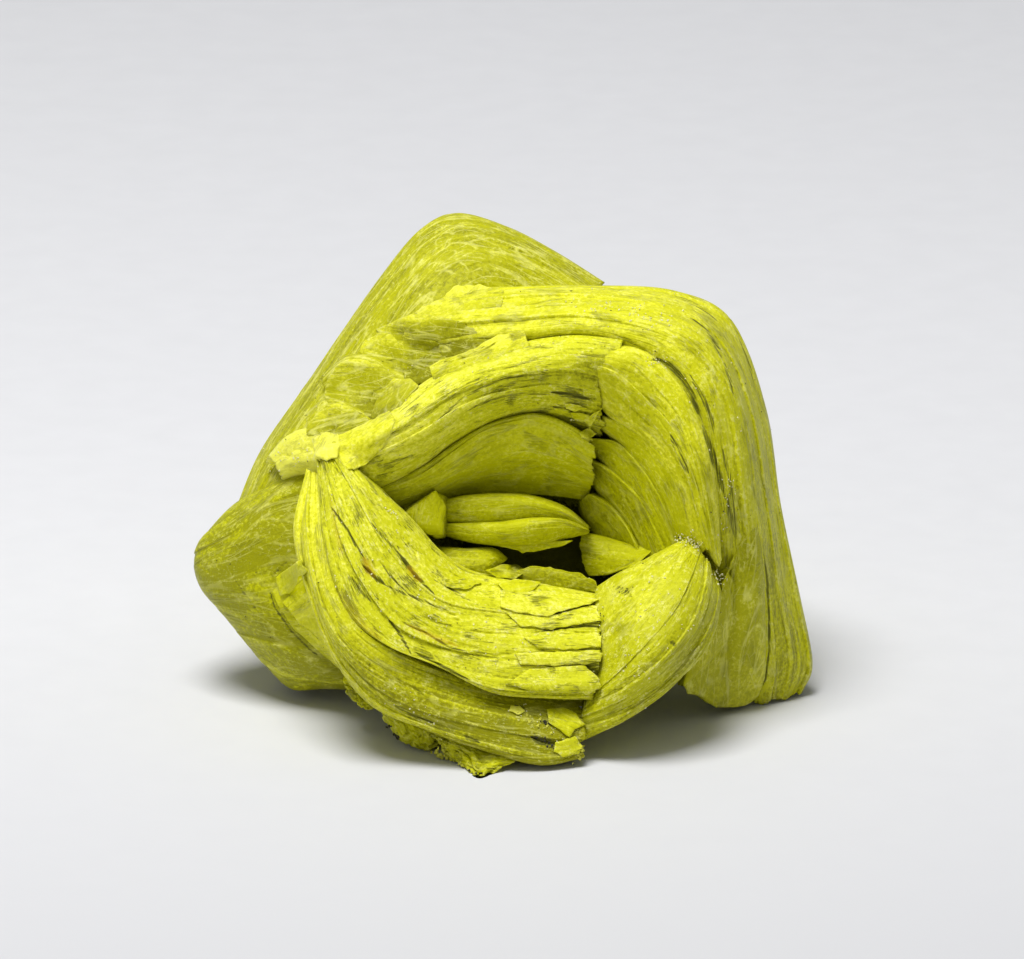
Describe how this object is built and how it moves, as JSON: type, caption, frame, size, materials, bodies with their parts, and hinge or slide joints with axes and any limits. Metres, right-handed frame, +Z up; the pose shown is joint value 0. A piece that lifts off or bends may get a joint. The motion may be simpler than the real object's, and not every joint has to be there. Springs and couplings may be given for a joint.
{
  "type": "mineral specimen",
  "caption": "Autunite crystal cluster: fanning books of thin yellow-green plates grown together into a rosette around a hollow; it rests on three low points.",
  "frame": {"origin": "middle of the bounding box in plan, at the height of the surface the specimen rests on", "axes": "+Z up as it stands, -Y out of the hollow towards someone looking at its face, +X to that person's right"},
  "size_m": [0.0436, 0.0382, 0.031],
  "materials": {
    "autunite": "waxy to pearly, thin plates, striated edges"
  },
  "bodies": {
    "root": {"autunite_cluster": "autunite"}
  },
  "joints": []
}
